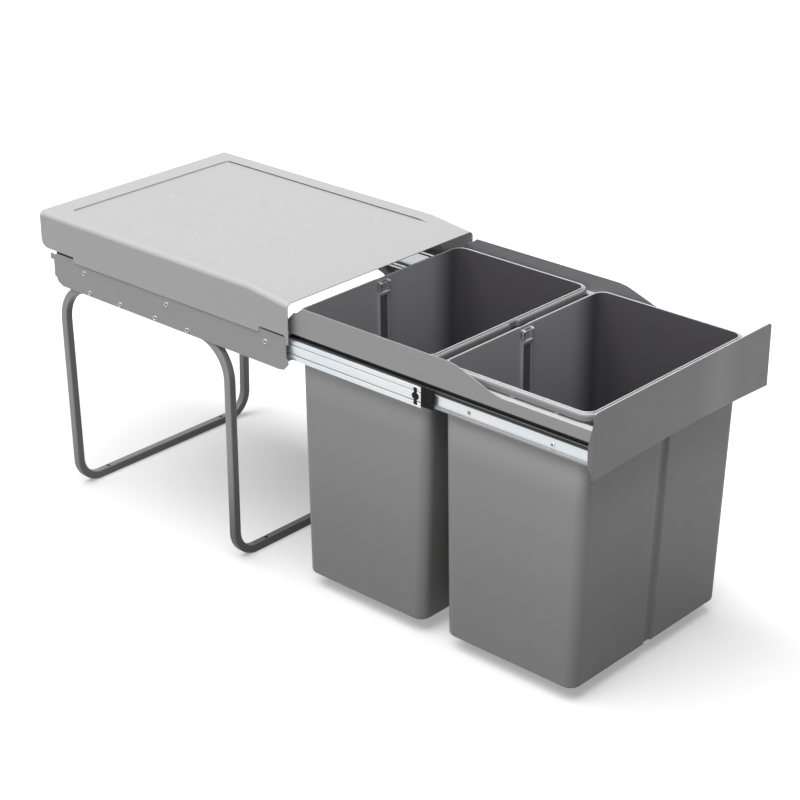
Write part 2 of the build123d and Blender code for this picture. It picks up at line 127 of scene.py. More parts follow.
def sums(tree, kind, first, second=None):
    # one step of reckoning with numbers or sockets
    n = tree.nodes.new("ShaderNodeMath")
    n.operation = kind
    for k, given in enumerate((first, second)):
        if isinstance(given, (int, float)):
            n.inputs[k].default_value = given
        elif given is not None:
            tree.links.new(given, n.inputs[k])
    return n.outputs[0]


def blended(tree, fac, first, second):
    # from the first to the second, each a colour or a socket
    m = tree.nodes.new("ShaderNodeMix")
    m.data_type = "RGBA"
    tree.links.new(fac, m.inputs["Factor"])
    for socket, given in (("A", first), ("B", second)):
        if isinstance(given, tuple):
            m.inputs[socket].default_value = (*given, 1)
        else:
            tree.links.new(given, m.inputs[socket])
    return m.outputs["Result"]


def dimmed(colour, by):
    return tuple(c * by for c in colour)


def axes(tree, place):
    parts = tree.nodes.new("ShaderNodeSeparateXYZ")
    tree.links.new(place, parts.inputs[0])
    return parts.outputs


def bumpFrom(tree, shader, height, strength, distance):
    b = tree.nodes.new("ShaderNodeBump")
    b.inputs["Strength"].default_value = strength
    b.inputs["Distance"].default_value = distance
    tree.links.new(height, b.inputs["Height"])
    tree.links.new(b.outputs["Normal"], shader.inputs["Normal"])


# finishes: what most of a kind share stands here, and a finish may say otherwise; lengths in metres

coatUsual = {"metallic": 0.0, "peelScale": 700, "peel": 0.05, "peelHigh": 0.0004, "roughScale": 60}
zincUsual = {"streakScale": 900, "streakStretch": (1, 0.03, 1), "streakHigh": 0.0002}
plasticUsual = {"darker": 0.94, "grainScale": 1600, "grain": 0.10, "grainHigh": 0.0002, "roughScale": 80}


def powderCoat(name, look):
    # satin coat: cloudy tone, orange peel bump, roughness that drifts a little
    look = {**coatUsual, **look}
    m, tree, shader, place = newMaterial(name)
    cloud = spread(tree, noiseOn(tree, place, look["cloudScale"]), 0, 1)
    colour = blended(tree, cloud, dimmed(look["colour"], look["darker"]), look["colour"])
    if "paintedHighlight" in look:                                 # one upright band painted lighter, a painted highlight
        paintedHighlight = look["paintedHighlight"]
        off = sums(tree, "ABSOLUTE", sums(tree, "SUBTRACT", axes(tree, place)["X"], paintedHighlight["x"]))
        colour = blended(tree, fade(tree, off, 0, paintedHighlight["half"]), paintedHighlight["colour"], colour)
    if "foot" in look:                                  # painted shade, darker towards the floor, most on the front loop
        at = axes(tree, place)
        low = blended(tree, fade(tree, at["Y"], *look["footY"]), look["foot"], look["rearPaintedShade"])
        colour = blended(tree, fade(tree, at["Z"], *look["footZ"]), low, colour)
    tree.links.new(colour, shader.inputs["Base Color"])
    drift = noiseOn(tree, place, look["roughScale"])
    tree.links.new(spread(tree, drift, *look["roughness"]), shader.inputs["Roughness"])
    bumpFrom(tree, shader, noiseOn(tree, place, look["peelScale"], 2), look["peel"], look["peelHigh"])
    shader.inputs["Metallic"].default_value = look["metallic"]
    return m


def zincPlate(name, look):
    # drawn zinc: streaks along Y, bluish patches
    look = {**zincUsual, **look}
    m, tree, shader, place = newMaterial(name)
    patch = spread(tree, noiseOn(tree, place, look["patchScale"]), 0, 1)
    tree.links.new(blended(tree, patch, look["cool"], look["warm"]), shader.inputs["Base Color"])
    streak = noiseOn(tree, place, look["streakScale"], 4, look["streakStretch"])
    tree.links.new(spread(tree, streak, *look["roughness"]), shader.inputs["Roughness"])
    bumpFrom(tree, shader, streak, look["streak"], look["streakHigh"])
    shader.inputs["Metallic"].default_value = look["metallic"]
    return m


def mouldedPlastic(name, look):
    # fine spark grain with faint flow clouds
    look = {**plasticUsual, **look}
    m, tree, shader, place = newMaterial(name)
    cloud = spread(tree, noiseOn(tree, place, look["cloudScale"]), 0, 1)
    colour = blended(tree, cloud, dimmed(look["colour"], look["darker"]), look["colour"])
    at = axes(tree, place)
    if "far" in look:                                   # painted shade, darker towards the far side wall
        colour = blended(tree, fade(tree, at["X"], *look["farX"]), colour, look["far"])
    if "lift" in look:                                  # painted light, lighter high on the side walls where the rails shade them
        outward = fade(tree, sums(tree, "ABSOLUTE", at["X"]), *look["liftX"])
        high = sums(tree, "MULTIPLY", outward, fade(tree, at["Z"], *look["liftZ"]))
        colour = blended(tree, high, colour, look["lift"])
    if "foot" in look:                                  # painted shade, darker towards the floor
        shadeColour = dimmed(look["colour"], look["foot"])
        low = blended(tree, cloud, dimmed(shadeColour, look["darker"]), shadeColour)
        colour = blended(tree, fade(tree, at["Z"], *look["footZ"]), low, colour)
    tree.links.new(colour, shader.inputs["Base Color"])
    shader.inputs["Specular IOR Level"].default_value = look["specular"]
    drift = noiseOn(tree, place, look["roughScale"])
    tree.links.new(spread(tree, drift, *look["roughness"]), shader.inputs["Roughness"])
    bumpFrom(tree, shader, noiseOn(tree, place, look["grainScale"], 2), look["grain"], look["grainHigh"])
    return m


coats = {
    "cover_enamel": {"colour": (0.52, 0.515, 0.52), "darker": 0.97, "cloudScale": 5, "roughness": (0.34, 0.42)},
    "plate_enamel": {"colour": (0.405, 0.405, 0.405), "darker": 0.96, "cloudScale": 7, "roughness": (0.36, 0.45)},
    # leg_enamel: foot, rearPaintedShade and their fades are painted shade low on the loops, darkest on the front loop
    "leg_enamel": {"colour": (0.37, 0.37, 0.37), "darker": 0.93, "cloudScale": 9, "roughness": (0.34, 0.44),
                   "peelScale": 800, "peel": 0.08, "foot": (0.085, 0.085, 0.085), "rearPaintedShade": (0.24, 0.24, 0.24),
                   "footY": (0.0, 0.08), "footZ": (0.004, 0.17)},
    # panel_enamel: the cover's grey coat darkened as painted shade on the front face, with a painted highlight band
    "panel_enamel": {"colour": (0.225, 0.221, 0.232), "darker": 0.88, "cloudScale": 5, "roughness": (0.30, 0.38),
                     "paintedHighlight": {"x": 0.066, "half": 0.048, "colour": (0.33, 0.327, 0.343)}},
    "drawer_enamel": {"colour": (0.43, 0.425, 0.43), "darker": 0.95, "cloudScale": 7, "roughness": (0.34, 0.44)},
}
zincs = {
    "zinc": {"cool": (0.66, 0.74, 0.79), "warm": (0.80, 0.80, 0.80), "patchScale": 9,
             "roughness": (0.26, 0.40), "streak": 0.05, "metallic": 0.80},
    "ball_steel": {"cool": (0.70, 0.70, 0.71), "warm": (0.76, 0.76, 0.75), "patchScale": 60,
                   "roughness": (0.08, 0.14), "streak": 0.01, "metallic": 1.0},
    # rail_groove: near-black zinc, painted shade in the middle rails' grooves and on the rails' tops
    "rail_groove": {"cool": (0.10, 0.105, 0.11), "warm": (0.16, 0.16, 0.16), "patchScale": 30,
                    "roughness": (0.45, 0.6), "streak": 0.03, "metallic": 0.3},
}
plastics = {
    # bin_plastic: foot and its fade are painted shade, darker towards the floor
    "bin_plastic": {"colour": (0.40, 0.40, 0.40), "darker": 0.96, "cloudScale": 6, "roughness": (0.42, 0.52),
                    "specular": 0.4, "foot": 0.62, "footZ": (0.02, 0.34),
                    # lift: a lighter tone high on the side walls, painted light against the rails' shade
                    "lift": (0.62, 0.62, 0.62), "liftX": (0.136, 0.1455), "liftZ": (0.25, 0.315)},
    "bin_rim": {"colour": (0.29, 0.288, 0.295), "cloudScale": 12, "roughness": (0.36, 0.46), "grain": 0.06,
                "specular": 0.5},
    # bin_inside: foot and far with their fades are painted shade, darker down and towards the far wall
    "bin_inside": {"colour": (0.54, 0.53, 0.555), "cloudScale": 6, "roughness": (0.45, 0.55), "specular": 0.3,
                   "foot": 0.10, "footZ": (0.02, 0.37), "far": (0.10, 0.096, 0.108), "farX": (0.085, 0.14)},
    # bin_flute: dark plastic, painted shade in the rear flute
    "bin_flute": {"colour": (0.15, 0.146, 0.16), "cloudScale": 6, "roughness": (0.45, 0.55), "specular": 0.3,
                  "foot": 0.10, "footZ": (0.02, 0.37)},
    # bin_lip: lighter plastic on the lip's top, a painted highlight
    "bin_lip": {"colour": (0.66, 0.66, 0.67), "cloudScale": 30, "roughness": (0.30, 0.40), "grain": 0.04,
                "specular": 0.6},
    "black_plastic": {"colour": (0.008, 0.008, 0.009), "darker": 0.8, "cloudScale": 40, "roughness": (0.55, 0.65),
                      "grainScale": 2200, "grain": 0.08, "specular": 0.15},
    "bumper_rubber": {"colour": (0.018, 0.018, 0.018), "darker": 0.8, "cloudScale": 60, "roughness": (0.6, 0.75),
                      "grainScale": 1800, "grain": 0.15, "specular": 0.3},
}
finish = {}
for looks, maker in ((coats, powderCoat), (zincs, zincPlate), (plastics, mouldedPlastic)):
    for name, look in looks.items():
        finish[name] = maker(name, look)
print("finishes made:", len(finish))

slotOf = {s["node"]: s["material_slot"] for s in frame["record"]["subparts"]}
for name, o in nodes.items():
    o.data.materials.clear()
    o.data.materials.append(finish[slotOf[name]])


def bodyOf(node):
    for body, members in frame["record"]["behaviour"]["bodies"].items():
        if node in members:
            return body


def seat(o, slotName, body, *replaced):
    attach(o, body)
    if replaced:
        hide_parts(*replaced)
    return o


# mesh helpers; the sizes and places of all pieces are in mm

mergeWithin = {"made": 1e-6, "cad": 1e-5}               # metres


def shaded(mesh, smooth=True):
    mesh.polygons.foreach_set("use_smooth", [smooth] * len(mesh.polygons))
    return mesh


def meshOf(bm, name, *materials):
    # the bmesh written to a new mesh, and freed
    mesh = bpy.data.meshes.new(name)
    bm.to_mesh(mesh)
    bm.free()
    for material in materials:
        mesh.materials.append(material)
    return mesh


def meshFrom(name, verts, faces, smooth=True):
    mesh = bpy.data.meshes.new(name)
    mesh.from_pydata([Vector(v) / 1000 for v in verts], [], faces)
    mesh.validate()
    return shaded(mesh, smooth)


def recalculated(mesh):
    bm = bmesh.new()
    bm.from_mesh(mesh)
    bmesh.ops.remove_doubles(bm, verts=bm.verts, dist=mergeWithin["made"])
    bmesh.ops.recalc_face_normals(bm, faces=bm.faces)
    bm.to_mesh(mesh)
    bm.free()
    return mesh


def boxInto(bm, low, high):
    for v in bmesh.ops.create_cube(bm, size=1)["verts"]:
        v.co = Vector([(low[k] + (v.co[k] + 0.5) * (high[k] - low[k])) / 1000 for k in range(3)])


def rolled(o, width, segments):
    # adds a bevel to the sharp edges
    bevel = o.modifiers.new("roll", "BEVEL")
    bevel.width, bevel.segments, bevel.limit_method = width / 1000, segments, "ANGLE"
    return bevel


def flatFaces(o, weight):
    # large faces keep their flat shading beside the rolled edges
    normals = o.modifiers.new("flatFaces", "WEIGHTED_NORMAL")
    normals.weight = weight


def applied(o):
    # modifiers baked into a plain mesh
    graph = bpy.context.evaluated_depsgraph_get()
    mesh = bpy.data.meshes.new_from_object(o.evaluated_get(graph))
    o.modifiers.clear()
    o.data = mesh
    return o


def sideTrim(name, sign, s, material, slotName, body):
    # boxes of the right side, or their mirror image, as one piece with rolled edges
    bm = bmesh.new()
    for (x0, x1), (y0, y1), (z0, z1) in s["boxes"]:
        x0, x1 = sorted((sign * x0, sign * x1))
        boxInto(bm, (x0, y0, z0), (x1, y1, z1))
    o = addObject(name, meshOf(bm, name, material))
    rolled(o, s["roll"], s["segments"])
    shaded(applied(o).data, s["smooth"])
    return seat(o, slotName, body)


def turned(name, profile, steps):
    # a profile of (along X, radius) spun round the X axis
    verts, faces, rings = [], [], []
    for x, r in profile:
        if r == 0:
            rings.append([len(verts)] * steps)
            verts.append((x, 0, 0))
            continue
        rings.append(list(range(len(verts), len(verts) + steps)))
        for k in range(steps):
            a = 2 * math.pi * k / steps
            verts.append((x, r * math.cos(a), r * math.sin(a)))
    for one, two in zip(rings, rings[1:]):
        for k in range(steps):
            n = (k + 1) % steps
            face = [one[k], one[n], two[n], two[k]]
            face = [v for i, v in enumerate(face) if v not in face[:i]]
            if len(face) > 2:
                faces.append(face)
    return recalculated(meshFrom(name, verts, faces))


# rolled edges on the sheet metal and mouldings

rolls = {
    "cover": {"nodes": ["top_cover"], "width": 0.3, "segments": 2},
    "plates": {"nodes": ["left_side_plate", "right_side_plate"], "width": 0.3, "segments": 2},
    "panel": {"nodes": ["front_panel"], "width": 0.5, "segments": 3},
    "sides": {"nodes": ["left_drawer_side", "right_drawer_side"], "width": 0.4, "segments": 3},
    "ledges": {"nodes": ["left_bin_ledge", "right_bin_ledge", "left_front_bracket", "right_front_bracket",
                         "rear_cross_bar", "middle_cross_bar", "front_cross_bar"], "width": 0.35, "segments": 2},
    "rails": {"nodes": ["left_outer_rail", "right_outer_rail", "left_middle_rail", "right_middle_rail",
                        "left_inner_rail", "right_inner_rail"], "width": 0.35, "segments": 3},
    "cages": {"nodes": ["left_outer_cage", "right_outer_cage", "left_inner_cage", "right_inner_cage"],
              "width": 0.08, "segments": 1},
    "clips": {"nodes": ["left_middle_clip", "right_middle_clip"], "width": 0.3, "segments": 3},
    "bumpers": {"nodes": ["left_rear_bumper", "right_rear_bumper"], "width": 0.8, "segments": 3},
}
rollSet = {"flatWithin": 1, "sharpFrom": 32, "weight": 80}      # degrees, degrees, and the weight of large faces


def rolledCopy(node, width, segments, s):
    # a merged copy of the CAD solid with its sharp edges rolled
    bm = bmesh.new()
    bm.from_mesh(nodes[node].data)
    bmesh.ops.remove_doubles(bm, verts=bm.verts, dist=mergeWithin["cad"])
    bmesh.ops.dissolve_limit(bm, angle_limit=math.radians(s["flatWithin"]), verts=bm.verts, edges=bm.edges)
    mesh = shaded(meshOf(bm, node + "Rolled"))
    mesh.materials.clear()
    mesh.materials.append(finish[slotOf[node]])
    o = addObject(node + "_rolled", mesh)
    bevel = rolled(o, width, segments)
    bevel.angle_limit = math.radians(s["sharpFrom"])
    bevel.use_clamp_overlap = False
    flatFaces(o, s["weight"])
    return seat(applied(o), slotOf[node], bodyOf(node), node)


for group, look in rolls.items():
    for node in look["nodes"]:
        rolledCopy(node, look["width"], look["segments"], rollSet)
    print("rolled edges:", group)


def toneFaces(name, material, chosen):
    # gives the faces that chosen() picks by centre and normal another finish
    mesh = bpy.data.objects[name + "_rolled"].data
    mesh.materials.append(material)
    index = len(mesh.materials) - 1
    for poly in mesh.polygons:
        if chosen(poly.center * 1000, poly.normal):
            poly.material_index = index


def facesUp(normal, least=0.5):
    return normal.z > least


# the step along the right side of the sunken panel, a darker line of painted shade in the fold

foldShadeSet = {"x": 141, "near": 1.2, "low": 395.3, "high": 396.9, "rear": 158.5, "steep": 0.6}
foldShade = powderCoat("cover_fold_shade", {"colour": (0.10, 0.10, 0.105), "darker": 0.9, "cloudScale": 20,
                                     "roughness": (0.5, 0.6)})


def onFoldShade(c, n):
    beside = abs(c.x - foldShadeSet["x"]) < foldShadeSet["near"] and c.y < foldShadeSet["rear"]
    return beside and abs(n.z) < foldShadeSet["steep"] and foldShadeSet["low"] < c.z < foldShadeSet["high"]


toneFaces("top_cover", foldShade, onFoldShade)
print("fold line toned")

# drawer sides: painted shade in the groove above the slide and on the hidden inner face; the rails' tops get painted
# shade too

grooveSet = {"low": 336.0, "high": 350.5, "reach": 157.2, "innerFace": 159.2, "near": 0.5, "inward": 0.7,
             "railTops": {"_middle_rail": 340, "_inner_rail": 336}}
grooveDark = powderCoat("groove_shade", {"colour": (0.055, 0.055, 0.055), "darker": 0.85, "cloudScale": 20,
                                         "roughness": (0.6, 0.7)})
innerFaceShade = powderCoat("inner_face_shade", {"colour": (0.24, 0.235, 0.245), "darker": 0.93, "cloudScale": 6,
                                      "roughness": (0.4, 0.5)})


def toneDrawerSide(side, sign, g):
    def inGroove(c, n):
        return g["low"] < c.z < g["high"] and abs(c.x) < g["reach"]

    def inside(c, n):
        return abs(abs(c.x) - g["innerFace"]) < g["near"] and n.x * sign < -g["inward"]

    toneFaces(side + "_drawer_side", grooveDark, inGroove)
    toneFaces(side + "_drawer_side", innerFaceShade, inside)
    for rail, top in g["railTops"].items():
        toneFaces(side + rail, finish["rail_groove"], lambda c, n: facesUp(n) and c.z > top)


for side, sign in sides:
    toneDrawerSide(side, sign, grooveSet)
print("drawer sides and rail tops toned")

# inner rails: a dull lower lip under a drawn line

lipSet = {"boxes": (((156.85, 159.45), (-710.6, -456.8), (318.9, 321.8)),
                    ((156.85, 157.4), (-710.6, -456.8), (321.7, 322.4))),
          "roll": 0.25, "segments": 3, "smooth": True}
lipZinc = zincPlate("lip_zinc", {"cool": (0.34, 0.36, 0.37), "warm": (0.42, 0.42, 0.42), "patchScale": 12,
                                 "roughness": (0.4, 0.5), "streak": 0.05, "metallic": 0.6})
for side, sign in sides:
    sideTrim(side + "_inner_lip", sign, lipSet, lipZinc, "zinc", "drawer")
print("inner rails lipped")

# the shaded strip of the drawer side's foot, over the inner rail

shadeSet = {"boxes": (((155.52, 156.02), (-716, -262), (336.75, 338.9)),),
            "roll": 0.1, "segments": 1, "smooth": False}
for side, sign in sides:
    sideTrim(side + "_foot_shade", sign, shadeSet, grooveDark, "drawer_enamel", "drawer")
print("foot strips shaded")

# the ledges' flat tops, the sides' low front tops and the panel's top edge get a painted highlight

highlightSet = {"sideTopZ": 362, "sideFrontY": -588, "panelTopZ": 387}
ledgeHighlight = powderCoat("ledge_highlight", {"colour": (0.66, 0.66, 0.665), "darker": 0.94, "cloudScale": 18,
                                       "roughness": (0.28, 0.36), "peel": 0.04})


def onSideFront(c, n):
    return facesUp(n) and c.z > highlightSet["sideTopZ"] and c.y < highlightSet["sideFrontY"]


for side, sign in sides:
    toneFaces(side + "_bin_ledge", ledgeHighlight, lambda c, n: facesUp(n))
    toneFaces(side + "_drawer_side", ledgeHighlight, onSideFront)
toneFaces("front_panel", ledgeHighlight, lambda c, n: facesUp(n) and c.z > highlightSet["panelTopZ"])
print("ledges and panel edge rubbed")


# strips drawn along the middle rails, a dark strip of painted shade between them, and the stop's bone shape at the
# front end

bandSet = {"boxes": (((161.77, 162.43), (-474.3, -70.5), (334.55, 340.9)),
                     ((161.77, 162.43), (-474.3, -70.5), (322.4, 333.8)),
                     ((161.77, 162.43), (-474.3, -70.5), (314.7, 321.3))),
           "roll": 0.25, "segments": 3, "smooth": True}
grooveShadeSet = {"boxes": (((161.67, 161.79), (-473.9, -70.9), (314.9, 340.7)),),
             "roll": 0.04, "segments": 1, "smooth": False}
boneSet = {"x": (161.85, 162.55), "y": -466.2, "z": 327.8, "halfHigh": 10.8, "blob": (5.4, 4.6), "waist": 2.3,
           "waistShort": 0.3, "knob": 3.2, "knobFrom": 8.0, "knobLead": 0.6, "knobSlope": 0.8, "steps": 44}


def boneHalf(b, z):
    # half the width of the bone shape at a height from its middle
    z = abs(z)
    blob = b["blob"][0] * math.sqrt(max(0, 1 - (z / b["blob"][1]) ** 2))
    knob = 0
    if z > b["knobFrom"] - b["knobLead"]:
        t = (z - b["knobFrom"]) / (b["halfHigh"] - b["knobFrom"])
        knob = b["knob"] * (math.sqrt(max(0, 1 - t ** 3)) if t > 0 else 1 + t * b["knobSlope"])
    return max(blob, b["waist"] if z < b["halfHigh"] - b["waistShort"] else 0, knob)


def boneMesh(name, sign, b):
    heights = [b["halfHigh"] * (1 - 2 * k / b["steps"]) for k in range(b["steps"] + 1)]
    edge = [(boneHalf(b, z), z) for z in heights]
    outline = [(b["y"] + w, b["z"] + z) for w, z in edge] + [(b["y"] - w, b["z"] + z) for w, z in reversed(edge)]
    n = len(outline)
    verts = [(sign * x, y, z) for x in b["x"] for y, z in outline]
    faces = [list(range(n)), list(range(n, 2 * n))]
    faces += [(k, (k + 1) % n, n + (k + 1) % n, n + k) for k in range(n)]
    mesh = recalculated(meshFrom(name, verts, faces, False))
    mesh.materials.append(finish["black_plastic"])
    return mesh


for side, sign in sides:
    sideTrim(side + "_rail_bands", sign, bandSet, finish["zinc"], "zinc", side + "_middle")
    sideTrim(side + "_rail_grooves", sign, grooveShadeSet, finish["rail_groove"], "zinc", side + "_middle")
    stop = addObject(side + "_rail_stop", boneMesh(side + "Bone", sign, boneSet))
    seat(stop, "black_plastic", side + "_middle")
print("middle rails banded")


# black strips in the two slots between skirt and plate, and in the upright gap at the front one: a dark sheet of
# painted shade

notchShadeSet = {"boxes": (((167.5, 168.72), (-264.4, -222.3), (344.75, 347.1)),
                     ((167.5, 168.72), (125.8, 160.9), (343.75, 347.1)),
                     ((167.7, 168.95), (-264.8, -263.5), (336.4, 346.6))),
           "roll": 0.1, "segments": 2, "smooth": False}
for side, sign in sides:
    sideTrim(side + "_notch_felt", sign, notchShadeSet, finish["bumper_rubber"], "bumper_rubber", "frame")
print("notches lined")


# bins, one shell from the inside floor over the rim to the outside foot

binSkins = ("bin_plastic", "bin_inside", "bin_lip", "bin_flute", "bin_rim")
outerSkin, innerSkin, lipHighlightSkin, troughShadeSkin, rimSkin = range(len(binSkins))
binSet = {"halfWidth": 147.9, "halfLength": 104.5, "corner": 15, "tightest": 1.2, "sideDraft": 3.2, "endDraft": 7.6,
          "heel": 3, "wall": 2.2, "bottom": 18.8, "floorBend": 2, "foot": 4.2, "rimTop": 372.4, "lipTop": 373.6,
          "skirtFoot": 364.5, "reach": 4.4, "skirt": 1.8, "webDown": 2.8, "bead": 3.4, "lipIn": 2.1, "lipFoot": 366,
          "fluteHalf": 6.5, "fluteSoft": 2.2, "fluteDepth": 3.4, "fluteTop": 350, "insideWiden": 2,
          "floorLevels": ((30, 0, 0), (12, 0.6, 2)), "underLevels": (8, 30),
          "insideLevels": (60, 120, 180, 240, 300, 340, 350), "outsideLevels": (300, 240, 180, 120, 60),
          "fluteFade": ((354, 0.6), (358, 0.15), (362, 0)), "beadFlute": (0.6, 0.06), "footFlute": (1, -0.08),
          "skirtRound": (0.3, 0.4), "webRound": (0.15, 0.3),
          "lipCurve": ((0, -0.7), (0.2, -0.2), (0.6, 0), (1.1, 0), (1.5, -0.25), (1.7, -0.7)),
          "gutter": ((1.8, -1.2, 0.1), (2.2, -1.5, 0.2), (3.0, -1.4, 0.4)),
          "lines": (0, 2, 3.5, 4.5, 5.2, 6, 6.8, 7.6, 8.6, 10, 13, 30, 65, 100), "sideSteps": 7, "cornerSteps": 8,
          "skins": {"lipDeep": 0.75, "rimDeep": 2, "wallPast": 0.3},
          "trough": {"x": (-8.8, 4.6), "z": (30, 352), "fromY": 60}, "weight": 60,
          "centres": {"rear_bin": -369.3, "front_bin": -597.9}}


def binRing(b, out, z, flute, widen):
    # one level: out is how far beyond the wall's outer face, flute how much of the groove shows
    t = (b["rimTop"] - z) / (b["rimTop"] - b["bottom"])
    a = b["halfWidth"] - b["sideDraft"] * t + out
    c = b["halfLength"] - b["endDraft"] * t + out
    r = max(b["corner"] + out, b["tightest"])
    shift = b["heel"] * t
    across = [x for x in b["lines"] if x < a - r - 1]
    across = [-x for x in reversed(across[1:])] + across
    alongY = [k * (c - r) / b["sideSteps"] for k in range(1 - b["sideSteps"], b["sideSteps"])]
    points = []

    def groove(x):
        half = b["fluteHalf"] + widen
        k = min(1, max(0, (half + b["fluteSoft"] - abs(x)) / b["fluteSoft"]))
        return flute * b["fluteDepth"] * k * k * (3 - 2 * k)

    def corner(cx, cy, start):
        for k in range(b["cornerSteps"] + 1):
            th = math.radians(start + 90 * k / b["cornerSteps"])
            points.append((cx + r * math.cos(th), cy + r * math.sin(th)))

    for y in alongY:
        points.append((a, y))
    corner(a - r, c - r, 0)
    for x in reversed(across):
        points.append((x, c - groove(x)))
    corner(r - a, c - r, 90)
    for y in reversed(alongY):
        points.append((-a, y))
    corner(r - a, r - c, 180)
    for x in across:
        points.append((x, groove(x) - c))
    corner(a - r, r - c, 270)
    return [(x, y + shift, z) for x, y in points]


def quarter(steps):
    # step, sine and cosine along a quarter turn
    for k in range(steps + 1):
        th = math.radians(90 * k / steps)
        yield k, math.sin(th), math.cos(th)


def binLevels(b):
    # every level as (out, z, flute, widen)
    w, reach, skirtFoot = b["wall"], b["reach"], b["skirtFoot"]
    top, lip, foot = b["rimTop"], b["lipTop"], b["bottom"]
    web, floor = top - b["webDown"], foot + w
    bend, bead, f, wide = b["floorBend"], b["bead"], b["foot"], b["insideWiden"]
    levels = [(-w - inwards, floor, flute, widen) for inwards, flute, widen in b["floorLevels"]]
    for k, s, c in quarter(4):                          # inside floor bend
        levels.append((-w - bend + bend * s, floor + bend - bend * c, 1, wide))
    levels += [(-w, z, 1, wide) for z in b["insideLevels"]]
    levels += [(-w, z, flute, wide) for z, flute in b["fluteFade"]]
    levels.append((-b["lipIn"], b["lipFoot"], 0, 0))
    levels += [(x - b["lipIn"], lip + z, 0, 0) for x, z in b["lipCurve"]]
    levels += [(x - b["lipIn"], top + z, flute, 0) for x, z, flute in b["gutter"]]
    start, step = b["beadFlute"]
    for k, s, c in quarter(6):                          # bead, a quarter round into the skirt
        levels.append((reach - bead + bead * s, top - bead + bead * c, start + step * k, 0))
    back, (side, rise) = reach - b["skirt"], b["skirtRound"]
    levels += [(reach, skirtFoot + rise, 1, 0), (reach - side, skirtFoot, 1, 0)]
    levels += [(back + side, skirtFoot, 1, 0), (back, skirtFoot + rise, 1, 0), (back, web, 1, 0)]
    side, drop = b["webRound"]
    levels += [(side, web, 1, 0), (0, web - drop, 1, 0), (0, b["fluteTop"], 1, 0)]
    levels += [(0, z, 1, 0) for z in b["outsideLevels"]]
    start, step = b["footFlute"]
    for k, s, c in quarter(5):                          # outside foot
        levels.append((f * c - f, foot + f - f * s, start + step * k, 0))
    levels += [(-f - inwards, foot, 0, 0) for inwards in b["underLevels"]]
    return levels


def skinAt(b, out, z):
    edge = b["skins"]
    if z > b["lipTop"] - edge["lipDeep"] and out < 0:
        return lipHighlightSkin
    if z > b["skirtFoot"] and out > b["reach"] - edge["rimDeep"]:
        return rimSkin
    return innerSkin if out < edge["wallPast"] - b["wall"] else outerSkin


def inTrough(t, c):
    # the bottom of the rear flute, darkened as painted shade
    return c.y > t["fromY"] and t["x"][0] < c.x < t["x"][1] and t["z"][0] < c.z < t["z"][1]


def loftedBin(name, b):
    levels = binLevels(b)
    verts, faces, rings, skins = [], [], [], []
    for level in levels:
        ring = binRing(b, *level)
        rings.append(range(len(verts), len(verts) + len(ring)))
        verts += ring
    n = len(rings[0])
    inside = True
    for one, two, (outA, zA, *_), (outB, zB, *_) in zip(rings, rings[1:], levels, levels[1:]):
        skin = skinAt(b, (outA + outB) / 2, (zA + zB) / 2)
        inside = inside and skin == innerSkin           # only down to the first lip ring
        if skin not in (lipHighlightSkin, rimSkin):
            skin = innerSkin if inside else outerSkin
        for k in range(n):
            faces.append((one[k], one[(k + 1) % n], two[(k + 1) % n], two[k]))
            skins.append(skin)
    faces += [list(rings[0]), list(rings[-1])]
    mesh = meshFrom(name, verts, faces)
    mesh.polygons.foreach_set("material_index", skins + [innerSkin, outerSkin])
    for poly in mesh.polygons:
        if poly.material_index == innerSkin and inTrough(b["trough"], poly.center * 1000):
            poly.material_index = troughShadeSkin
    return recalculated(mesh)


seatSet = {"width": 19, "inset": 0.4, "root": 0.8, "ledge": (351.6, 355.4), "proud": 4.6, "plate": 1.6, "plateDown": 3,
           "post": 3.6, "postTop": 369.4, "postBack": 0.8, "head": 1.9, "headBack": 0.6, "headParts": 3,
           "within": 50, "highlighted": 0.4, "roll": 0.5, "segments": 2}
ribSet = {"places": (-62, 0, 62), "long": 5, "foot": 362.05, "top": 369.6, "root": 0.6, "tip": 0.4}


def clipSeat(bm, b, s):
    # ledge and two posts on the inner rear wall, where a liner clips in
    wall = b["halfLength"] - b["wall"] - s["inset"]
    face, root = wall - s["proud"], wall + s["root"]
    half, top = s["width"] / 2, s["ledge"][1]
    boxInto(bm, (-half, face, s["ledge"][0]), (half, root, top))
    boxInto(bm, (-half, wall - s["plate"], top), (half, root, s["postTop"] - s["plateDown"]))
    for side in (-1, 1):
        x = side * (half - s["post"] / 2)
        boxInto(bm, (x - s["post"] / 2, face + s["postBack"], top), (x + s["post"] / 2, root, s["postTop"]))
        m = Matrix.Translation(mm(x, face + s["headBack"], s["postTop"] - s["head"]))
        bmesh.ops.create_icosphere(bm, subdivisions=s["headParts"], radius=s["head"] / 1000, matrix=m)


def rimRibs(bm, b, r):
    # short webs between the wall and the rim's skirt
    x0, x1 = b["halfWidth"] - r["root"], b["halfWidth"] + b["reach"] - b["skirt"] + r["tip"]
    for y in r["places"]:
        for side in (-1, 1):
            ends = sorted((side * x0, side * x1))
            boxInto(bm, (ends[0], y - r["long"] / 2, r["foot"]), (ends[1], y + r["long"] / 2, r["top"]))


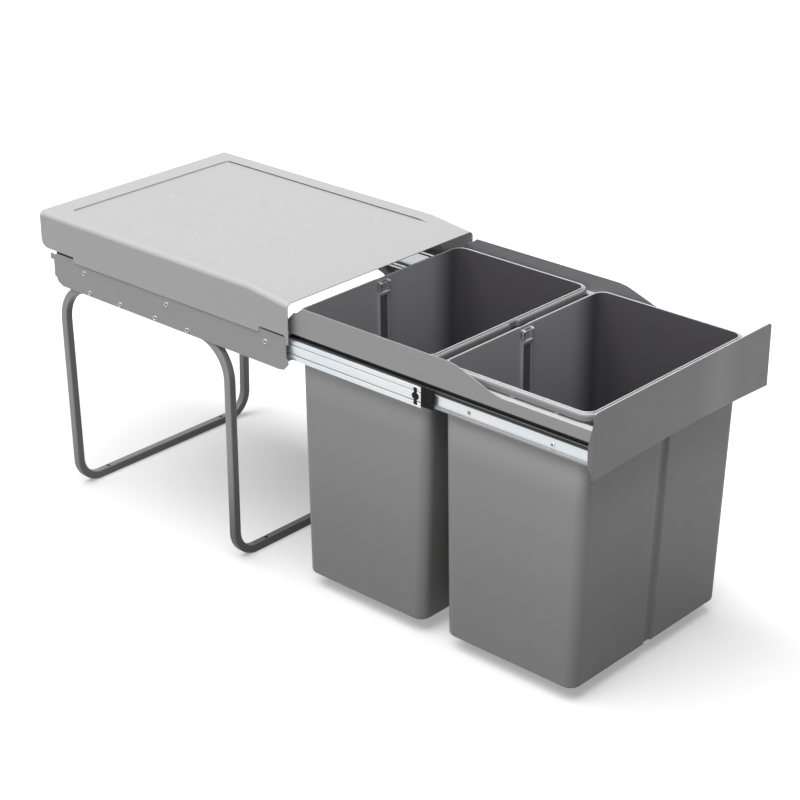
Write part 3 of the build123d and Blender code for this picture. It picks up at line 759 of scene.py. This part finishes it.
def makeBin(node, b, s, ribs):
    shell = loftedBin(node + "Shell", b)
    bm = bmesh.new()
    clipSeat(bm, b, s)
    rimRibs(bm, b, ribs)
    small = addObject(node + "_extra", meshOf(bm, node + "Extra"))
    rolled(small, s["roll"], s["segments"])
    applied(small)
    bm = bmesh.new()
    bm.from_mesh(shell)
    bm.from_mesh(small.data)
    bm.faces.ensure_lookup_table()
    for f in bm.faces:
        f.smooth = True
    for f in bm.faces[len(shell.polygons):]:            # the clip seat's upward tops get the lip's painted highlight
        onSeat = abs(f.calc_center_median().x) * 1000 < s["within"]
        f.material_index = lipHighlightSkin if onSeat and facesUp(f.normal, s["highlighted"]) else outerSkin
    bmesh.ops.translate(bm, verts=bm.verts, vec=mm(0, b["centres"][node], 0))
    bm.to_mesh(shell)
    bm.free()
    bpy.data.objects.remove(small)
    for name in binSkins:
        shell.materials.append(finish[name])
    o = addObject(node + "_shell", shell)
    flatFaces(o, b["weight"])
    return seat(applied(o), "bin_plastic", node, node)


for node in binSet["centres"]:
    makeBin(node, binSet, seatSet, ribSet)
print("bins lofted")


# geometry nodes trees

def newTree(name, sockets):
    tree = bpy.data.node_groups.new(name, "GeometryNodeTree")
    tree.interface.new_socket("Geometry", in_out="OUTPUT", socket_type="NodeSocketGeometry")
    for label, kind in sockets:
        tree.interface.new_socket(label, in_out="INPUT", socket_type="NodeSocket" + kind)
    return tree, tree.nodes.new("NodeGroupInput").outputs, tree.nodes.new("NodeGroupOutput")


def finishTree(tree, instances, material, output):
    real = tree.nodes.new("GeometryNodeRealizeInstances")
    paint = tree.nodes.new("GeometryNodeSetMaterial")
    tree.links.new(instances, real.inputs["Geometry"])
    tree.links.new(real.outputs["Geometry"], paint.inputs["Geometry"])
    tree.links.new(material, paint.inputs["Material"])
    tree.links.new(paint.outputs["Geometry"], output.inputs["Geometry"])


def grown(name, tree, values, points=()):
    # runs a tree on a mesh of points and returns the plain result
    mesh = bpy.data.meshes.new(name)
    mesh.from_pydata([mm(*p) for p in points], [], [])
    o = addObject(name, mesh)
    mod = o.modifiers.new("grow", "NODES")
    mod.node_group = tree
    for item in tree.interface.items_tree:
        if item.in_out == "INPUT" and item.name in values:
            mod[item.identifier] = values[item.name]
    shaded(applied(o).data)
    return o


def copiesTree():
    # the same fastener on every point
    tree, given, out = newTree("fastenerCopies", [("Geometry", "Geometry"), ("Fastener", "Object"), ("Turn", "Vector"),
                                                  ("Size", "Float"), ("Finish", "Material")])
    info = tree.nodes.new("GeometryNodeObjectInfo")
    put = tree.nodes.new("GeometryNodeInstanceOnPoints")
    tree.links.new(given["Fastener"], info.inputs["Object"])
    tree.links.new(given["Geometry"], put.inputs["Points"])
    tree.links.new(info.outputs["Geometry"], put.inputs["Instance"])
    tree.links.new(given["Turn"], put.inputs["Rotation"])
    tree.links.new(given["Size"], put.inputs["Scale"])
    finishTree(tree, put.outputs["Instances"], given["Finish"], out)
    return tree


def rowsTree():
    # an upper and a lower row of balls
    tree, given, out = newTree("ballRows", [("Count", "Int"), ("Pitch", "Float"), ("Radius", "Float"),
                                            ("Upper Start", "Vector"), ("Lower Start", "Vector"),
                                            ("Finish", "Material")])
    ball = tree.nodes.new("GeometryNodeMeshIcoSphere")
    ball.inputs["Subdivisions"].default_value = 3
    tree.links.new(given["Radius"], ball.inputs["Radius"])
    step = tree.nodes.new("ShaderNodeCombineXYZ")
    tree.links.new(given["Pitch"], step.inputs["Y"])
    join = tree.nodes.new("GeometryNodeJoinGeometry")
    for start in ("Lower Start", "Upper Start"):
        line = tree.nodes.new("GeometryNodeMeshLine")
        tree.links.new(given["Count"], line.inputs["Count"])
        tree.links.new(given[start], line.inputs["Start Location"])
        tree.links.new(step.outputs[0], line.inputs["Offset"])
        put = tree.nodes.new("GeometryNodeInstanceOnPoints")
        tree.links.new(line.outputs["Mesh"], put.inputs["Points"])
        tree.links.new(ball.outputs["Mesh"], put.inputs["Instance"])
        tree.links.new(put.outputs["Instances"], join.inputs["Geometry"])
    finishTree(tree, join.outputs["Geometry"], given["Finish"], out)
    return tree


def pipsTree():
    # a grid of low pressed pips
    tree, given, out = newTree("pressedPips", [("Size X", "Float"), ("Size Y", "Float"), ("Columns", "Int"),
                                               ("Rows", "Int"), ("Centre", "Vector"), ("Radius", "Float"),
                                               ("Flatness", "Vector"), ("Finish", "Material")])
    grid = tree.nodes.new("GeometryNodeMeshGrid")
    for a, c in (("Size X", "Size X"), ("Size Y", "Size Y"), ("Columns", "Vertices X"), ("Rows", "Vertices Y")):
        tree.links.new(given[a], grid.inputs[c])
    move = tree.nodes.new("GeometryNodeTransform")
    tree.links.new(grid.outputs["Mesh"], move.inputs["Geometry"])
    tree.links.new(given["Centre"], move.inputs["Translation"])
    pip = tree.nodes.new("GeometryNodeMeshUVSphere")
    pip.inputs["Segments"].default_value, pip.inputs["Rings"].default_value = 16, 8
    tree.links.new(given["Radius"], pip.inputs["Radius"])
    put = tree.nodes.new("GeometryNodeInstanceOnPoints")
    tree.links.new(move.outputs["Geometry"], put.inputs["Points"])
    tree.links.new(pip.outputs["Mesh"], put.inputs["Instance"])
    tree.links.new(given["Flatness"], put.inputs["Scale"])
    finishTree(tree, put.outputs["Instances"], given["Finish"], out)
    return tree


copies, rows, pips = copiesTree(), rowsTree(), pipsTree()


def fastened(name, sign, pattern, material, spots, body, *replaced):
    # a pattern's copies on one side, their heads outwards
    turn = (0, 0, 0) if sign > 0 else (0, 0, math.pi)
    made = grown(name, copies, {"Fastener": pattern, "Turn": turn, "Size": 1.0, "Finish": material}, spots)
    return seat(made, "zinc", body, *replaced)


# rivets: a bright ring round a dark pin, painted shade in the head's hollow, shank and tail behind

rivetSet = {"head": 3.2, "shank": 1.6, "tail": 2.2, "through": 2.4, "steps": 32, "face": 168.8,
            "rows": ((329.4, (106, -53, -230)), (304.6, (96.5, 37, -30, -89.5)))}
pinSet = {"profile": ((0.1, 0), (0.1, 1.7), (0.62, 1.7), (0.7, 1.55), (0.7, 1.0), (0.95, 0.8), (1.0, 0.4), (0.95, 0)),
          "steps": 20}


def rivetProfile(r):
    back, head = -r["through"], r["head"]
    return [(back - 1, 0), (back - 1, r["shank"]), (back - 0.8, r["tail"] - 0.2), (back - 0.3, r["tail"]),
            (back, r["tail"]), (back, r["shank"]), (0, r["shank"]), (0, head), (0.5, head), (0.95, head - 0.15),
            (1.2, head - 0.45), (1.2, head - 0.75), (0.95, head - 1.05), (0.55, head - 1.2),
            (0.5, 1.2), (0.2, 1.15), (0.2, 0)]


pinShade = zincPlate("rivet_pin", {"cool": (0.05, 0.05, 0.055), "warm": (0.09, 0.09, 0.09), "patchScale": 80,
                                  "roughness": (0.4, 0.55), "streak": 0.02, "metallic": 0.6})
ringZinc = zincPlate("ring_zinc", {"cool": (0.80, 0.80, 0.81), "warm": (0.88, 0.88, 0.88), "patchScale": 60,
                                   "roughness": (0.35, 0.5), "streak": 0.02, "metallic": 0.15})
rivetBody = addObject("rivetPattern", turned("rivetPattern", rivetProfile(rivetSet), rivetSet["steps"]))
rivetCore = addObject("pinPattern", turned("pinPattern", pinSet["profile"], pinSet["steps"]))
for side, sign in sides:
    spots = [(sign * rivetSet["face"], y, z) for z, places in rivetSet["rows"] for y in places]
    fastened(side + "_rivet_heads", sign, rivetBody, ringZinc, spots, "frame", side + "_plate_rivets")
    fastened(side + "_rivet_pins", sign, rivetCore, pinShade, spots, "frame")
print("rivets set")

# pan head screws in the inner rails, with a cross recess and a dark core of painted shade in it

screwSet = {"head": 3.3, "rise": 1.5, "crown": 0.45, "brim": 0.3, "shank": 1.9, "back": 5.4, "tip": 0.01,
            "slot": 0.5, "slotReach": 1.9, "slotDepth": 0.9, "slotSoft": 0.3, "coreLift": 0.62, "steps": 48,
            "radii": (0.0, 0.35, 0.6, 0.9, 1.2, 1.5, 1.8, 2.0, 2.4, 2.8, 3.1),
            "face": 156.8, "z": 327.8, "places": (-660.6, -470, -300)}


def screwPattern(s):
    head, soft, steps = s["head"], s["slotSoft"], s["steps"]
    radii = (*s["radii"], head)
    verts, faces = [], []

    def ring(r, height):
        for k in range(steps):
            a = 2 * math.pi * k / steps
            y, z = r * math.cos(a), r * math.sin(a)
            verts.append((height(r, y, z), y, z))

    def dome(r, y, z):
        x = s["rise"] * (1 - (r / head) ** 2 * s["crown"] if r < head else s["brim"])
        beside = max(0, min(1, (s["slot"] + soft / 2 - min(abs(y), abs(z))) / soft))
        within = max(0, min(1, (s["slotReach"] - r) / soft))
        return x - s["slotDepth"] * (beside * within)

    for r in radii:
        ring(r, dome)
    for x, r in ((0, head), (0, s["shank"]), (-s["back"], s["shank"]), (-s["back"], s["tip"])):
        ring(r, lambda *at: x)
    for level in range(len(radii) + 3):
        low, high = level * steps, (level + 1) * steps
        for k in range(steps):
            n = (k + 1) % steps
            faces.append((low + k, low + n, high + n, high + k))
    return recalculated(meshFrom("screwPattern", verts, faces))


screwBody = addObject("screwPattern", screwPattern(screwSet))
for side, sign in sides:
    spots = [(sign * screwSet["face"], y, screwSet["z"]) for y in screwSet["places"]]
    fastened(side + "_screws", sign, screwBody, finish["zinc"], spots, "drawer", side + "_rail_screws")
    spots = [(x + sign * screwSet["coreLift"], y, z) for x, y, z in spots]
    fastened(side + "_screw_recess", sign, rivetCore, pinShade, spots, "drawer")
for pattern in (screwBody, rivetBody, rivetCore):
    bpy.data.objects.remove(pattern)
print("screws set")

# balls of the slides

ballSet = {"nodes": ("left_outer_balls", "right_outer_balls", "left_inner_balls", "right_inner_balls"),
           "radius": 1.5, "count": 8}
for node in ballSet["nodes"]:
    low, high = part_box(node)
    r, x = ballSet["radius"] / 1000, (low.x + high.x) / 2
    values = {"Count": ballSet["count"], "Pitch": (high.y - low.y - 2 * r) / (ballSet["count"] - 1), "Radius": r,
              "Upper Start": (x, low.y + r, high.z - r), "Lower Start": (x, low.y + r, low.z + r),
              "Finish": finish["ball_steel"]}
    seat(grown(node + "_set", rows, values), "ball_steel", bodyOf(node), node)
print("balls set")

# low pips pressed into the cover's sunken panel

pipSet = {"sizeX": 231.6, "sizeY": 265.8, "columns": 7, "rows": 7, "centre": (-10, -25, 395.2), "radius": 2.4,
          "flat": 0.10}
pipCoat = powderCoat("pip_coat", {"colour": (0.59, 0.59, 0.595), "darker": 0.96, "cloudScale": 20,
                                  "roughness": (0.25, 0.32), "peel": 0.02})
values = {"Size X": pipSet["sizeX"] / 1000, "Size Y": pipSet["sizeY"] / 1000, "Columns": pipSet["columns"],
          "Rows": pipSet["rows"], "Centre": mm(*pipSet["centre"]), "Radius": pipSet["radius"] / 1000,
          "Flatness": (1, 1, pipSet["flat"]), "Finish": pipCoat}
seat(grown("cover_pips", pips, values), "cover_enamel", "frame")
print("cover pips pressed")


# floor, light and background; beyond sideX, in metres, the floor glows more, painted light that lifts the object's
# shadow on that side
studio = {"floorSize": 14, "floorSeen": 0.70, "floorBounce": 0.13, "floorRough": 0.9, "floorGlow": 0.31,
          "sidePaintedLight": 0.73, "sideX": (0.10, 0.30), "worldSeen": 1.0, "worldLight": 0.14,
          "suns": {"softbox": {"energy": 3.31, "angle": 60, "place": (-0.30, 0.05, 0.95)},
                   "sideFill": {"energy": 0.53, "angle": 60, "place": (-0.98, 0, 0.20)}}}


def pickByRay(tree, seen, other):
    # seen, a number or a socket, for what is seen, straight or in gloss and glass, and other for its light
    path = tree.nodes.new("ShaderNodeLightPath").outputs
    fac = sums(tree, "MAXIMUM", path["Is Camera Ray"], path["Is Glossy Ray"])
    fac = sums(tree, "MAXIMUM", fac, path["Is Transmission Ray"])
    mix = tree.nodes.new("ShaderNodeMix")
    tree.links.new(fac, mix.inputs["Factor"])
    mix.inputs["A"].default_value = other
    if isinstance(seen, float):
        mix.inputs["B"].default_value = seen
    else:
        tree.links.new(seen, mix.inputs["B"])
    return mix.outputs["Result"]


def floorPaper(s):
    m, tree, shader, place = newMaterial("floorPaper")
    shader.inputs["Roughness"].default_value = s["floorRough"]
    shader.inputs["Specular IOR Level"].default_value = 0.0
    tone = pickByRay(tree, s["floorSeen"], s["floorBounce"])
    side = fade(tree, axes(tree, place)["X"], *s["sideX"])
    glow = sums(tree, "ADD", s["floorGlow"], sums(tree, "MULTIPLY", side, s["sidePaintedLight"] - s["floorGlow"]))
    tree.links.new(pickByRay(tree, glow, 0), shader.inputs["Emission Strength"])
    shader.inputs["Emission Color"].default_value = (1, 1, 1, 1)
    grey = tree.nodes.new("ShaderNodeCombineColor")
    for k in ("Red", "Green", "Blue"):
        tree.links.new(tone, grey.inputs[k])
    tree.links.new(grey.outputs[0], shader.inputs["Base Color"])
    return m


def makeStudio(s):
    half = s["floorSize"] / 2
    mesh = bpy.data.meshes.new("floor")
    mesh.from_pydata([(-half, -half, 0), (half, -half, 0), (half, half, 0), (-half, half, 0)], [], [(0, 1, 2, 3)])
    mesh.materials.append(floorPaper(s))
    floor = addObject("floor", mesh)
    world = bpy.data.worlds.new("studio")
    scene.world = world
    world.use_nodes = True
    tree = world.node_tree
    back = tree.nodes["Background"]
    back.inputs["Color"].default_value = (1, 1, 1, 1)
    tree.links.new(pickByRay(tree, s["worldSeen"], s["worldLight"]), back.inputs["Strength"])
    for name, look in s["suns"].items():
        sun = addObject(name, bpy.data.lights.new(name, "SUN"))
        sun.data.energy, sun.data.angle = look["energy"], math.radians(look["angle"])
        sun.rotation_euler = (-Vector(look["place"])).to_track_quat("-Z", "Y").to_euler()


makeStudio(studio)
print("studio made")
